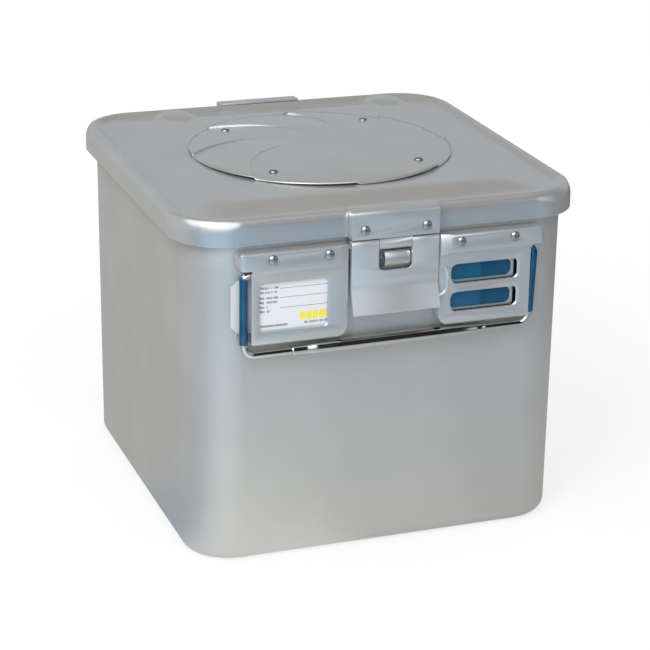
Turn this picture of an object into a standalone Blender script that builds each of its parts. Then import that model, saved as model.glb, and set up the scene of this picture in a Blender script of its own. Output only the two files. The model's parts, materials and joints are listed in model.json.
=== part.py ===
"""Half-size sterilization container: drawn aluminium tub, lift-off lid, two latches, two bail handles.

Metres, +Z up, origin at the centre of the floor face. The front faces -Y. The front fittings are built
in place, and the back ones are the same meshes turned half round the Z axis.
"""

import math

import bmesh
import bpy
from mathutils import Matrix, Vector

# Shared clearances and overruns
seat_gap = 0.0003
running_gap = 0.0008
cut_overrun = 0.010
weld_distance = 1e-6
axis_weld_distance = 1e-5
corner_segments = 7
small_corner_segments = 4
bail_bend_segments = 5
rivet_segments = 12
round_segments = 32

# Tub
tub_width = 0.2800
tub_depth = 0.2876
tub_corner_radius = 0.036
tub_wall = 0.0020
tub_rim_height = 0.2430
tub_floor_radius = 0.008
tub_draft = 0.0008

# Lid
lid_side_overhang = 0.0083
lid_end_overhang = 0.0037
lid_rise = 0.0085
lid_corner_radius = 0.040
lid_wall = 0.0015
skirt_height = 0.0180
rim_radius = 0.005
valley_inset = 0.013
valley_drop = 0.0028
crown_inset = 0.046
crown_rise = 0.0013
crown_corner_radius = 0.020
crown_flat_inset = 0.060
rim_fall_share = 0.35
slope_shares = ((0.15, 0.05), (0.5, 0.45), (0.85, 0.92), (1.0, 1.0))
lug_length = 0.039
lug_depth = 0.049
lug_rise = 0.0038
lug_offset = 0.011
lug_spacing = 0.172
lug_edge_distance = 0.0275

# Seal
seal_width = 0.0045
seal_height = 0.0041

# Steam cover on the lid
cover_radius = 0.0963
cover_sheet = 0.0008
cover_dome = 0.0040
cover_hub_radius = 0.024
vane_count = 8
vane_lift = 0.0013
vane_start_angle = -2.0
vane_point_shares = (0.0, 0.25, 0.5, 0.75, 0.96)
cover_ring_count = 6
cover_rivet_spacing_x = 0.110
cover_rivet_spacing_y = 0.114
cover_rivet_head_radius = 0.0033
cover_rivet_head_height = 0.0013

# Vent holes in the lid, and the filter under them
vent_hole_radius = 0.004
vent_ring_radii = (0.035, 0.060)
vent_holes_per_ring = 8
filter_radius = 0.094
filter_sheet_thickness = 0.0006
retainer_wall = 0.0015
retainer_hole_radius = 0.009
retainer_hole_count = 8
retainer_hole_circle = 0.045

# Lid plate with its hinge knuckle
plate_width = 0.0636
plate_projection = 0.0075
plate_rise = 0.0016
plate_drop = 0.0008
plate_hook_reach = 0.0065
sharp_bend = 0.0004
plate_top_fall = 0.0010
plate_bend = 0.0022
plate_rivet_spacing = 0.0448
plate_rivet_drop = 0.0122
hinge_drop = 0.0239
hinge_radius = 0.0040
pin_radius = 0.0016
pin_recess = 0.0006
knuckle_width = 0.0240

# Latch lever, with its drops measured from the hinge
lever_skin = 0.0030
lever_bend_drop = 0.0312
lever_flare = 0.0065
lever_bottom_drop = 0.0476
lever_notch_drop = 0.0181
lever_notch_radius = 0.0042
lever_channel_skin = 0.0010
lever_rib_drop = 0.0206
lever_rib_width = 0.003
lever_lug_drop = 0.006
lever_lug_taper = 0.002
lever_lug_bend = 0.0008
lever_edge_bend = 0.0009
lever_groove_drops = (0.0241, 0.0146)
lever_groove_depth = 0.0004
lever_groove_width = 0.0012
groove_floor_share = 0.4

# Keeper on the tub
keeper_width = 0.0184
keeper_offset = 0.0022
keeper_roll_height = 0.0132
keeper_roll_radius = 0.0058
keeper_strap = 0.0016
keeper_strap_drop = 0.0140
keeper_bore_radius = 0.0016
keeper_bend = 0.0008
keeper_back_bend = 0.0021

# Label frame and slotted frame, with their drops measured from the tub's rim
frame_sheet = 0.0015
frame_projection = 0.0122
panel_projection = 0.0092
frame_inner_end = 0.0332
frame_end_rise = 0.0004
frame_end_bend = 0.0020
frame_bevel = 0.0075
frame_panel_end = 0.1020
frame_ear_end = 0.1120
frame_ledge_drop = 0.0128
frame_ear_drop = 0.0245
crease_drop = 0.0255
frame_bottom_drop = 0.0795
frame_lip_bend = 0.0030
frame_inner_corner = 0.010
frame_outer_corner = 0.003
ear_corner = 0.005
ear_bottom_corner = 0.004
frame_small_corner = 0.0015
ledge_bend = 0.0012
window_start = 0.0476
window_end = 0.0966
window_bottom_drop = 0.0690
window_height = 0.0335
slot_start = 0.0425
slot_end = 0.0914
slot_bottom_drops = (0.0678, 0.0474)
slot_height = 0.0119
opening_corner = 0.003
plunge_wall = 0.0014
plunge_depth = 0.0044
lip_thickness = 0.0008
lip_reach = 0.0004
lip_end_reach = 0.0026
lip_corner = 0.0045

# Rivets
rivet_head_radius = 0.0033
rivet_head_height = 0.0016
rivet_shank_radius = 0.0019
rivet_tail_radius = 0.0028
rivet_tail_height = 0.0011
head_profile_shares = ((0, 1), (0.45, 0.88), (0.85, 0.5), (1, 0))
frame_rivet_positions = (0.0480, 0.0880)
frame_rivet_drop = 0.0176

# Bail handle
bail_rod_radius = 0.0027
bail_axis_projection = 0.0045
bail_axis_drop = 0.0295
bail_half_span = 0.1062
bail_drop = 0.0555
bail_tip = 0.0940
bail_top_bend = 0.0045
bail_bottom_bend = 0.0080
grip_radius = 0.0040
grip_length = 0.1440
sleeve_radius = 0.0034
sleeve_start = 0.0045
sleeve_length = 0.0430

# Label card and indicator plate
card_thickness = 0.0004
card_inner_end = 0.0430
card_outer_end = 0.1140
card_bottom_drop = 0.0715
card_top_drop = 0.0340
card_chamfer = 0.0045
card_ramp = 0.0080
indicator_thickness = 0.0010
indicator_start = 0.0380
indicator_end = 0.0980
indicator_top_drop = 0.0335

# Values that follow from the sizes above
tub_front = tub_depth / 2
lid_width = tub_width + 2 * lid_side_overhang
lid_depth = tub_depth + 2 * lid_end_overhang
lid_front = lid_depth / 2
lid_rim_height = tub_rim_height + lid_rise
skirt_bottom = lid_rim_height - skirt_height
valley_height = lid_rim_height - valley_drop
crown_height = lid_rim_height + crown_rise
plate_top = lid_rim_height + plate_rise
plate_bottom = skirt_bottom - plate_drop
plate_front = lid_front + plate_projection
plate_back = lid_front + seat_gap
plate_rivet_height = lid_rim_height - plate_rivet_drop
hinge_height = lid_rim_height - hinge_drop
hinge_front = plate_front - hinge_radius
bore_radius = pin_radius + seat_gap
bolted_on = tub_front + seat_gap
lever_back = plate_front - 2 * hinge_radius
lever_notch_height = hinge_height - lever_notch_drop
frame_front = tub_front + frame_projection
panel_front = tub_front + panel_projection
frame_ledge_height = tub_rim_height - frame_ledge_drop
frame_ear_bottom = tub_rim_height - frame_ear_drop
crease_height = tub_rim_height - crease_drop
frame_bottom = tub_rim_height - frame_bottom_drop
frame_rivet_height = tub_rim_height - frame_rivet_drop
bail_axis_front = tub_front + bail_axis_projection
bail_axis_height = tub_rim_height - bail_axis_drop
knuckle_gap = 0.5 * seat_gap
rivet_hole_radius = rivet_shank_radius + seat_gap

# Colour, roughness and metallic value of each finish
finishes = {
    "anodised_aluminium": ((0.60, 0.62, 0.64), 0.38, 1.0),
    "bright_aluminium": ((0.70, 0.72, 0.74), 0.30, 1.0),
    "stainless_steel": ((0.55, 0.55, 0.55), 0.25, 1.0),
    "chrome": ((0.75, 0.75, 0.76), 0.08, 1.0),
    "silicone": ((0.55, 0.12, 0.10), 0.60, 0.0),
    "blue_plastic": ((0.02, 0.16, 0.33), 0.35, 0.0),
    "filter_paper": ((0.80, 0.80, 0.78), 0.90, 0.0),
    "label_card": ((0.85, 0.85, 0.83), 0.70, 0.0),
}


def clear_scene():
    for obj in list(bpy.data.objects):
        bpy.data.objects.remove(obj, do_unlink=True)


def make_collection(name):
    collection = bpy.data.collections.new(name)
    bpy.context.scene.collection.children.link(collection)
    return collection


clear_scene()
parts = make_collection("sterilization_container")
cutters = make_collection("cutters")


def material_named(finish):
    if finish in bpy.data.materials:
        return bpy.data.materials[finish]
    colour, roughness, metallic = finishes[finish]
    material = bpy.data.materials.new(finish)
    material.use_nodes = True
    shader = material.node_tree.nodes["Principled BSDF"]
    shader.inputs["Base Color"].default_value = (*colour, 1.0)
    shader.inputs["Roughness"].default_value = roughness
    shader.inputs["Metallic"].default_value = metallic
    return material


def add_object(name, data, collection, matrix=None):
    obj = bpy.data.objects.new(name, data)
    collection.objects.link(obj)
    if matrix is not None:
        obj.matrix_world = matrix
    return obj


def settle(obj):
    """Replaces an object by its evaluated mesh in world space, welded and facing out."""
    bpy.context.view_layer.update()
    evaluated = obj.evaluated_get(bpy.context.evaluated_depsgraph_get())
    mesh = bpy.data.meshes.new_from_object(evaluated)
    mesh.transform(obj.matrix_world)
    shape = bmesh.new()
    shape.from_mesh(mesh)
    bmesh.ops.remove_doubles(shape, verts=shape.verts, dist=weld_distance)
    bmesh.ops.recalc_face_normals(shape, faces=shape.faces)
    shape.to_mesh(mesh)
    shape.free()
    name = obj.name
    bpy.data.objects.remove(obj, do_unlink=True)
    return add_object(name, mesh, cutters)


def combine(target, tool, operation):
    """Joins, cuts or intersects the target with the tool, and uses the tool up."""
    modifier = target.modifiers.new(operation.title(), "BOOLEAN")
    modifier.operation = operation
    modifier.object = tool
    joined = settle(target)
    bpy.data.objects.remove(tool, do_unlink=True)
    return joined


def cut(target, tool):
    return combine(target, tool, "DIFFERENCE")


def join(target, tool):
    return combine(target, tool, "UNION")


def trim(target, tool):
    return combine(target, tool, "INTERSECT")


def finish_part(obj, name, finish, smooth_angle=30):
    """Gives a settled mesh its name, material and shading, and moves it among the parts."""
    obj.name = name
    obj.data.name = name
    obj.data.materials.clear()
    obj.data.materials.append(material_named(finish))
    obj.data.shade_smooth()
    obj.data.set_sharp_from_angle(angle=math.radians(smooth_angle))
    cutters.objects.unlink(obj)
    parts.objects.link(obj)
    return obj


# Outlines are lists of points, and corners are given as (x, y) or (x, y, radius)
def filleted(corners, segments=small_corner_segments, closed=True):
    points = []
    count = len(corners)
    for index, corner in enumerate(corners):
        here = Vector(corner[:2])
        radius = corner[2] if len(corner) > 2 else 0
        is_end = not closed and index in (0, count - 1)
        if radius == 0 or is_end:
            points.append(here)
            continue
        before = (Vector(corners[index - 1][:2]) - here).normalized()
        after = (Vector(corners[(index + 1) % count][:2]) - here).normalized()
        half_angle = before.angle(after) / 2
        centre = here + (before + after).normalized() * radius / math.sin(half_angle)
        start = here + before * radius / math.tan(half_angle) - centre
        sweep = start.angle_signed(here + after * radius / math.tan(half_angle) - centre)
        for step in range(segments + 1):
            points.append(centre + Matrix.Rotation(-sweep * step / segments, 2) @ start)
    return points


def rounded_rectangle(width, depth, radius, segments=corner_segments):
    half_width = width / 2
    half_depth = depth / 2
    corners = [
        (half_width, -half_depth, radius),
        (half_width, half_depth, radius),
        (-half_width, half_depth, radius),
        (-half_width, -half_depth, radius),
    ]
    return filleted(corners, segments)


def rectangle(low, high):
    return [(low[0], low[1]), (high[0], low[1]), (high[0], high[1]), (low[0], high[1])]


def rounded_opening(low, high, radius):
    return filleted([(*point, radius) for point in rectangle(low, high)])


# Planes in which outlines are drawn: seen from above, from the front and from the end
def plan_view(height=0):
    return Matrix.Translation((0, 0, height))


def front_view(distance):
    """Outline x is world X, outline y is world Z, and the thickness lies along -Y."""
    return Matrix(((1, 0, 0, 0), (0, 0, -1, -distance), (0, 1, 0, 0), (0, 0, 0, 1)))


def end_view(place=0):
    """Outline x is the distance in front of the centre, outline y is world Z, thickness along X."""
    return Matrix(((0, 0, -1, place), (-1, 0, 0, 0), (0, 1, 0, 0), (0, 0, 0, 1)))


def extruded(outlines, thickness, view):
    """A flat outline, with further outlines as holes in it, made solid about its plane."""
    curve = bpy.data.curves.new("outline", "CURVE")
    curve.dimensions = "2D"
    curve.fill_mode = "BOTH"
    curve.extrude = thickness / 2
    for outline in outlines:
        spline = curve.splines.new("POLY")
        spline.points.add(len(outline) - 1)
        for point, place in zip(spline.points, outline):
            point.co = (place[0], place[1], 0, 1)
        spline.use_cyclic_u = True
    return settle(add_object("outline", curve, cutters, view))


def plan_block(outline, low, high):
    return extruded([outline], high - low, plan_view((low + high) / 2))


def front_block(outline, near, far):
    return extruded([outline], far - near, front_view((near + far) / 2))


def end_block(outline, width, centre=0):
    return extruded([outline], width, end_view(centre))


def turned(profile, steps, matrix, closed=False):
    """A profile of (radius, height) points from top to bottom, turned about its height axis."""
    mesh = bpy.data.meshes.new("profile")
    shape = bmesh.new()
    corners = [shape.verts.new((radius, 0, height)) for radius, height in profile]
    for first, second in zip(corners, corners[1:]):
        shape.edges.new((first, second))
    if closed:
        shape.edges.new((corners[-1], corners[0]))
    shape.to_mesh(mesh)
    shape.free()
    obj = add_object("profile", mesh, cutters, matrix)
    screw = obj.modifiers.new("Turn", "SCREW")
    screw.steps = steps
    screw.render_steps = steps
    screw.use_merge_vertices = True
    screw.merge_threshold = axis_weld_distance
    return settle(obj)


def upright(x, y, height):
    return Matrix.Translation((x, y, height))


def facing_front(x, distance, height):
    """Turns a profile's height axis to point straight out of the front."""
    return Matrix.Translation((x, -distance, height)) @ Matrix.Rotation(math.pi / 2, 4, "X")


def along_width(distance, height):
    return Matrix.Translation((0, -distance, height)) @ Matrix.Rotation(math.pi / 2, 4, "Y")


def take_new_object(matrix):
    """Places the object that a primitive operator has just made, and moves it among the cutters."""
    obj = bpy.context.object
    for collection in list(obj.users_collection):
        collection.objects.unlink(obj)
    cutters.objects.link(obj)
    obj.matrix_world = matrix
    return obj


def cylinder(radius, length, matrix, segments=16):
    bpy.ops.mesh.primitive_cylinder_add(vertices=segments, radius=radius, depth=length)
    return settle(take_new_object(matrix))


def merged(objects):
    """Several cutters that stay apart, as one object."""
    shape = bmesh.new()
    for obj in objects:
        shape.from_mesh(obj.data)
        bpy.data.objects.remove(obj, do_unlink=True)
    mesh = bpy.data.meshes.new("cutter")
    shape.to_mesh(mesh)
    shape.free()
    return add_object("cutter", mesh, cutters)


def loft(rings, close_last):
    """Skins rings that have the same number of points, the last one filled where asked."""
    mesh = bpy.data.meshes.new("loft")
    shape = bmesh.new()
    rows = [[shape.verts.new(point) for point in ring] for ring in rings]
    for lower, upper in zip(rows, rows[1:]):
        for index in range(len(lower)):
            after = (index + 1) % len(lower)
            shape.faces.new((lower[index], lower[after], upper[after], upper[index]))
    if close_last:
        shape.faces.new(rows[-1])
    bmesh.ops.recalc_face_normals(shape, faces=shape.faces)
    shape.to_mesh(mesh)
    shape.free()
    return add_object("loft", mesh, cutters)


def make_shell(obj, wall):
    solidify = obj.modifiers.new("Wall", "SOLIDIFY")
    solidify.thickness = wall
    solidify.offset = -1
    solidify.use_even_offset = True
    return settle(obj)


def point_up(obj):
    """Turns an open surface over where its largest face points down."""
    largest = max(obj.data.polygons, key=lambda face: face.area)
    if largest.normal.z < 0:
        obj.data.flip_normals()
    return obj


# Tub
def build_tub():
    bottom_width = tub_width - 2 * tub_draft
    bottom_depth = tub_depth - 2 * tub_draft
    rings = []
    for step in range(small_corner_segments + 1):
        angle = math.pi / 2 * step / small_corner_segments
        inset = tub_floor_radius * (1 - math.sin(angle))
        height = tub_floor_radius * (1 - math.cos(angle))
        rings.append(
            [
                (*point, height)
                for point in rounded_rectangle(
                    bottom_width - 2 * inset, bottom_depth - 2 * inset, tub_corner_radius - inset
                )
            ]
        )
    top = rounded_rectangle(tub_width, tub_depth, tub_corner_radius)
    rings.append([(*point, tub_rim_height) for point in top])
    surface = loft(list(reversed(rings)), close_last=True)
    floor = min(surface.data.polygons, key=lambda face: face.center.z)
    if floor.normal.z > 0:
        surface.data.flip_normals()
    return finish_part(make_shell(surface, tub_wall), "tub", "anodised_aluminium")


# Lid
def lid_ring(inset, height):
    corner = max(lid_corner_radius - inset, crown_corner_radius)
    outline = rounded_rectangle(lid_width - 2 * inset, lid_depth - 2 * inset, corner)
    return [(*point, height) for point in outline]


def lid_rings():
    rings = [lid_ring(0, skirt_bottom)]
    for step in range(small_corner_segments + 1):
        angle = math.pi / 2 * step / small_corner_segments
        inset = rim_radius * (1 - math.cos(angle))
        rings.append(lid_ring(inset, lid_rim_height - rim_radius * (1 - math.sin(angle))))
    half_valley = (rim_radius + valley_inset) / 2
    rings.append(lid_ring(half_valley, lid_rim_height - rim_fall_share * valley_drop))
    rings.append(lid_ring(valley_inset, valley_height))
    slope = crown_inset - valley_inset
    rise = crown_height - valley_height
    for inset_share, rise_share in slope_shares:
        rings.append(lid_ring(valley_inset + slope * inset_share, valley_height + rise * rise_share))
    rings.append(lid_ring(crown_flat_inset, crown_height))
    return rings


def lug_block(side):
    place = (lug_offset + side * lug_spacing / 2, lid_depth / 2 - lug_edge_distance, lid_rim_height)
    size = (lug_length / 2, lug_depth / 2, lug_rise)
    bpy.ops.mesh.primitive_uv_sphere_add(segments=16, ring_count=8, radius=1)
    return settle(take_new_object(Matrix.LocRotScale(Vector(place), None, Vector(size))))


def cover_rivet_places():
    half_x = cover_rivet_spacing_x / 2
    half_y = cover_rivet_spacing_y / 2
    return [(half_x, -half_y), (half_x, half_y), (-half_x, half_y), (-half_x, -half_y)]


def cover_rivet_holes(radius):
    length = 2 * cut_overrun
    return [
        cylinder(radius, length, upright(x, y, crown_height)) for x, y in cover_rivet_places()
    ]


def vent_holes():
    holes = []
    for ring, ring_radius in enumerate(vent_ring_radii):
        for index in range(vent_holes_per_ring):
            angle = 2 * math.pi * (index + ring / 2) / vent_holes_per_ring
            place = upright(ring_radius * math.cos(angle), ring_radius * math.sin(angle), crown_height)
            holes.append(cylinder(vent_hole_radius, 2 * cut_overrun, place, segments=8))
    return holes


def plate_rivet_holes(near, far):
    holes = []
    for side in (-1, 1):
        place = facing_front(side * plate_rivet_spacing / 2, (near + far) / 2, plate_rivet_height)
        holes.append(cylinder(rivet_hole_radius, far - near, place, segments=rivet_segments))
    return holes


def turned_half_round(obj):
    """A copy of a cutter on the back of the container."""
    copy = add_object("cutter", obj.data.copy(), cutters)
    copy.data.transform(Matrix.Rotation(math.pi, 4, "Z"))
    return copy


def build_lid_shell():
    shell = make_shell(point_up(loft(lid_rings(), close_last=True)), lid_wall)
    for side in (-1, 1):
        shell = join(shell, lug_block(side))
    shell = cut(shell, merged(vent_holes() + cover_rivet_holes(rivet_hole_radius)))
    holes = merged(plate_rivet_holes(lid_front - cut_overrun, lid_front + cut_overrun))
    back_holes = turned_half_round(holes)
    shell = cut(shell, merged([holes, back_holes]))
    return finish_part(shell, "lid_shell", "anodised_aluminium")


def build_seal():
    tub_inset = (lid_width - tub_width) / 2
    outer_inset = tub_inset + tub_wall / 2 - seal_width / 2
    inner_inset = outer_inset + seal_width
    outlines = []
    for inset in (outer_inset, inner_inset):
        outlines.append(
            rounded_rectangle(
                lid_width - 2 * inset, lid_depth - 2 * inset, lid_corner_radius - inset
            )
        )
    middle = tub_rim_height + seat_gap + seal_height / 2
    seal = extruded(outlines, seal_height, plan_view(middle))
    return finish_part(seal, "lid_seal", "silicone")


# Steam cover: eight vanes that each rise over 45 degrees and drop to the next along a spiral
def crease_angle(radius):
    return -math.pi / 4 * (cover_radius - radius) / (cover_radius - cover_hub_radius)


def cover_surface(radius, share):
    """Height of the cover's underside, where share runs from 0 to 1 across a vane."""
    outwards = (radius - cover_hub_radius) / (cover_radius - cover_hub_radius)
    dome = cover_dome * (1 - (radius / cover_radius) ** 2)
    return crown_height + seat_gap + dome + vane_lift * share * outwards


def cover_ring(radius):
    ring = []
    for vane in range(vane_count):
        for share in vane_point_shares:
            turn = 2 * math.pi * (vane + share) / vane_count
            angle = math.radians(vane_start_angle) + crease_angle(radius) + turn
            place = (radius * math.cos(angle), radius * math.sin(angle))
            ring.append((*place, cover_surface(radius, share) + cover_sheet))
    return ring


def build_cover():
    step = (cover_radius - cover_hub_radius) / cover_ring_count
    rings = [cover_ring(cover_radius - step * index) for index in range(cover_ring_count + 1)]
    cover = make_shell(point_up(loft(rings, close_last=True)), cover_sheet)
    cover = cut(cover, merged(cover_rivet_holes(rivet_hole_radius)))
    return finish_part(cover, "steam_cover", "anodised_aluminium", smooth_angle=20)


def vane_share_at(x, y):
    radius = math.hypot(x, y)
    turn = math.atan2(y, x) - math.radians(vane_start_angle) - crease_angle(radius)
    return (turn * vane_count / (2 * math.pi)) % 1


def headed_profile(head_radius, head_height):
    return [
        (across_share * head_radius, up_share * head_height)
        for across_share, up_share in head_profile_shares
    ]


def build_cover_rivets():
    for index, (x, y) in enumerate(cover_rivet_places()):
        seat = cover_surface(math.hypot(x, y), vane_share_at(x, y)) + cover_sheet + seat_gap
        seat += 0.5 * seat_gap
        lid_under = crown_height - lid_wall - seat_gap
        profile = headed_profile(cover_rivet_head_radius, cover_rivet_head_height) + [
            (rivet_shank_radius, 0),
            (rivet_shank_radius, lid_under - seat),
            (rivet_tail_radius, lid_under - seat),
            (rivet_tail_radius, lid_under - seat - rivet_tail_height),
            (0, lid_under - seat - rivet_tail_height),
        ]
        rivet = turned(profile, rivet_segments, upright(x, y, seat))
        finish_part(rivet, f"cover_rivet_{index + 1}", "stainless_steel")


def build_filter():
    under_lid = crown_height - lid_wall
    sheet_top = under_lid - seat_gap - rivet_tail_height - seat_gap
    sheet_bottom = sheet_top - filter_sheet_thickness
    sheet = turned(
        [(0, sheet_top), (filter_radius, sheet_top), (filter_radius, sheet_bottom), (0, sheet_bottom)],
        round_segments,
        upright(0, 0, 0),
    )
    finish_part(sheet, "filter_sheet", "filter_paper")
    plate_upper = sheet_bottom - seat_gap
    plate_lower = plate_upper - retainer_wall
    rim_inner = filter_radius + seat_gap
    rim_outer = rim_inner + retainer_wall
    profile = [
        (0, plate_upper),
        (rim_inner, plate_upper),
        (rim_inner, under_lid - seat_gap),
        (rim_outer, under_lid - seat_gap),
        (rim_outer, plate_upper),
        (rim_inner, plate_lower),
        (0, plate_lower),
    ]
    retainer = turned(profile, round_segments, upright(0, 0, 0))
    holes = []
    for index in range(retainer_hole_count):
        angle = 2 * math.pi * index / retainer_hole_count
        x = retainer_hole_circle * math.cos(angle)
        y = retainer_hole_circle * math.sin(angle)
        holes.append(cylinder(retainer_hole_radius, cut_overrun, upright(x, y, plate_lower)))
    retainer = cut(retainer, merged(holes))
    finish_part(retainer, "filter_retainer", "anodised_aluminium")


# Front fittings, in the order of assembly
def build_lid_plate():
    hook_under = lid_rim_height + seat_gap
    outline = filleted(
        [
            (plate_back, plate_bottom),
            (plate_front, plate_bottom, sharp_bend),
            (plate_front, plate_top - plate_top_fall, plate_bend),
            (plate_back - plate_hook_reach, plate_top, sharp_bend),
            (plate_back - plate_hook_reach, hook_under),
            (plate_back, hook_under, rim_radius + seat_gap),
        ]
    )
    plate = end_block(outline, plate_width)
    knuckle_top = skirt_bottom + seat_gap
    knuckle_radius = hinge_radius - knuckle_gap
    knuckle_outline = filleted(
        [
            (plate_back + seat_gap, knuckle_top),
            (hinge_front + knuckle_radius, knuckle_top),
            (hinge_front + knuckle_radius, hinge_height - knuckle_radius, knuckle_radius),
            (hinge_front - knuckle_radius, hinge_height - knuckle_radius, knuckle_radius),
            (hinge_front - knuckle_radius, hinge_height, knuckle_radius),
            (plate_back + seat_gap, hinge_height + knuckle_radius, knuckle_gap),
        ]
    )
    plate = join(plate, end_block(knuckle_outline, knuckle_width))
    bore = cylinder(bore_radius, plate_width, along_width(hinge_front, hinge_height))
    plate = cut(plate, bore)
    plate = cut(plate, merged(plate_rivet_holes(plate_back - cut_overrun, plate_front + cut_overrun)))
    return finish_part(plate, "front_lid_plate", "bright_aluminium")


def build_hinge_pin():
    length = plate_width - 2 * pin_recess
    pin = cylinder(pin_radius, length, along_width(hinge_front, hinge_height), segments=rivet_segments)
    return finish_part(pin, "front_hinge_pin", "stainless_steel")


def groove(height):
    half = lever_groove_width / 2
    return [
        (plate_front, height - half),
        (plate_front - lever_groove_depth, height - groove_floor_share * half),
        (plate_front - lever_groove_depth, height + groove_floor_share * half),
        (plate_front, height + half),
    ]


def build_lever():
    top = hinge_height + hinge_radius
    inner = plate_front - lever_skin
    rib_low = hinge_height - lever_rib_drop - lever_rib_width / 2
    rib_high = rib_low + lever_rib_width
    flare_drop = lever_bottom_drop - lever_bend_drop
    bend_height = hinge_height - lever_bend_drop
    bottom_height = hinge_height - lever_bottom_drop
    bottom_front = plate_front + lever_flare
    lip = lever_skin * lever_flare / flare_drop
    corners = [
        (lever_back, top, hinge_radius),
        (lever_back, hinge_height - lever_lug_drop, lever_lug_bend),
        (inner, hinge_height - lever_lug_drop - lever_lug_taper, lever_lug_bend),
        (inner, rib_high),
        (lever_back + running_gap, rib_high),
        (lever_back + running_gap, rib_low),
        (inner, rib_low),
        (inner, bend_height + lip / 2),
        (bottom_front - lever_skin, bottom_height + lip / 2, lever_edge_bend),
        (bottom_front, bottom_height, lever_edge_bend),
        (plate_front, bend_height),
    ]
    for drop in lever_groove_drops:
        corners += groove(hinge_height - drop)
    corners.append((plate_front, top, hinge_radius))
    lever = end_block(filleted(corners), plate_width)
    notch_half = knuckle_width / 2 + seat_gap
    notch_top = top + cut_overrun
    notch = filleted(
        [
            (-notch_half, lever_notch_height, lever_notch_radius),
            (notch_half, lever_notch_height, lever_notch_radius),
            (notch_half, notch_top),
            (-notch_half, notch_top),
        ]
    )
    lever = cut(lever, front_block(notch, lever_back - cut_overrun, bottom_front + cut_overrun))
    channel_half = keeper_width / 2 + keeper_offset + running_gap
    channel = rectangle(
        (-channel_half, bottom_height - cut_overrun),
        (channel_half, lever_notch_height + lever_notch_radius),
    )
    channel_floor = plate_front - lever_channel_skin
    lever = cut(lever, front_block(channel, lever_back - cut_overrun, channel_floor))
    bore = cylinder(bore_radius, 2 * plate_width, along_width(hinge_front, hinge_height))
    lever = cut(lever, bore)
    return finish_part(lever, "front_latch_lever", "bright_aluminium")


def build_keeper():
    roll_front = plate_front - lever_channel_skin - seat_gap - knuckle_gap
    top = hinge_height - hinge_radius - running_gap
    bottom = top - keeper_roll_height
    outline = filleted(
        [
            (bolted_on, bottom - keeper_strap_drop),
            (bolted_on + keeper_strap, bottom - keeper_strap_drop),
            (bolted_on + keeper_strap, bottom, keeper_bend),
            (roll_front, bottom, keeper_roll_radius),
            (roll_front, top, keeper_roll_radius),
            (bolted_on, top, keeper_back_bend),
        ]
    )
    keeper = end_block(outline, keeper_width, keeper_offset)
    centre = roll_front - keeper_roll_radius
    bore = cylinder(keeper_bore_radius, 2 * keeper_width, along_width(centre, (top + bottom) / 2))
    return finish_part(cut(keeper, bore), "front_keeper", "stainless_steel")


def frame_solid(inset, side):
    """The frame's outer form, or with an inset its hollow, which is open at the back and the outer end."""
    back = bolted_on if inset == 0 else bolted_on - cut_overrun
    ledge = frame_ledge_height - inset
    bottom = frame_bottom + inset
    front = frame_front - inset
    panel = panel_front - inset
    offset = frame_front - panel_front
    lip_bend = frame_lip_bend if inset == 0 else inset
    section = filleted(
        [
            (back, ledge),
            (front, ledge, ledge_bend),
            (front, crease_height + inset / 2),
            (panel, crease_height + inset / 2 - offset),
            (panel, bottom, lip_bend),
            (back, bottom),
        ]
    )
    width = frame_ear_end + cut_overrun
    block = end_block(section, width, side * width / 2)
    start = frame_inner_end + inset
    end = frame_ear_end - inset
    plan = filleted(
        [
            (side * start, -back),
            (side * start, -(panel + frame_end_rise), frame_end_bend - inset),
            (side * (start + frame_bevel), -front),
            (side * end, -front, ear_corner),
            (side * end, -back),
        ]
    )
    block = trim(block, plan_block(plan, frame_bottom - cut_overrun, frame_ledge_height + cut_overrun))
    if inset:
        return block
    face = filleted(
        [
            (side * start, ledge, frame_small_corner),
            (side * end, ledge, ear_corner),
            (side * end, frame_ear_bottom, ear_bottom_corner),
            (side * frame_panel_end, frame_ear_bottom, frame_small_corner),
            (side * frame_panel_end, bottom, frame_outer_corner),
            (side * start, bottom, frame_inner_corner),
        ]
    )
    return trim(block, front_block(face, back - cut_overrun, front + cut_overrun))


def frame_blank(side):
    """A pressed frame before its openings are made, with its rivet holes."""
    blank = cut(frame_solid(0, side), frame_solid(frame_sheet, side))
    holes = []
    for position in frame_rivet_positions:
        place = facing_front(side * position, frame_front, frame_rivet_height)
        holes.append(cylinder(rivet_hole_radius, cut_overrun, place, segments=rivet_segments))
    return cut(blank, merged(holes))


def build_label_frame():
    side = -1
    bottom = tub_rim_height - window_bottom_drop
    low = (side * window_end, bottom)
    high = (side * window_start, bottom + window_height)
    window = rounded_opening(low, high, opening_corner)
    frame = cut(frame_blank(side), front_block(window, tub_front, frame_front + cut_overrun))
    return finish_part(frame, "front_label_frame", "anodised_aluminium")


def build_slotted_frame():
    frame = frame_blank(1)
    inner_face = panel_front - frame_sheet
    for drop in slot_bottom_drops:
        bottom = tub_rim_height - drop
        low = (slot_start, bottom)
        high = (slot_end, bottom + slot_height)
        rim_low = (slot_start - plunge_wall, bottom - plunge_wall)
        rim_high = (slot_end + plunge_wall, bottom + slot_height + plunge_wall)
        rim = rounded_opening(rim_low, rim_high, opening_corner + plunge_wall)
        frame = join(frame, front_block(rim, panel_front - plunge_depth, inner_face + frame_sheet / 2))
        slot = rounded_opening(low, high, opening_corner)
        lip_front = panel_front - plunge_depth + lip_thickness
        frame = cut(frame, front_block(slot, lip_front, frame_front + cut_overrun))
        lip_low = (slot_start + lip_reach, bottom + lip_reach)
        lip_high = (slot_end - lip_end_reach, bottom + slot_height - lip_reach)
        inner_slot = rounded_opening(lip_low, lip_high, lip_corner)
        frame = cut(frame, front_block(inner_slot, tub_front, frame_front + cut_overrun))
    return finish_part(frame, "front_slotted_frame", "anodised_aluminium")


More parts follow.
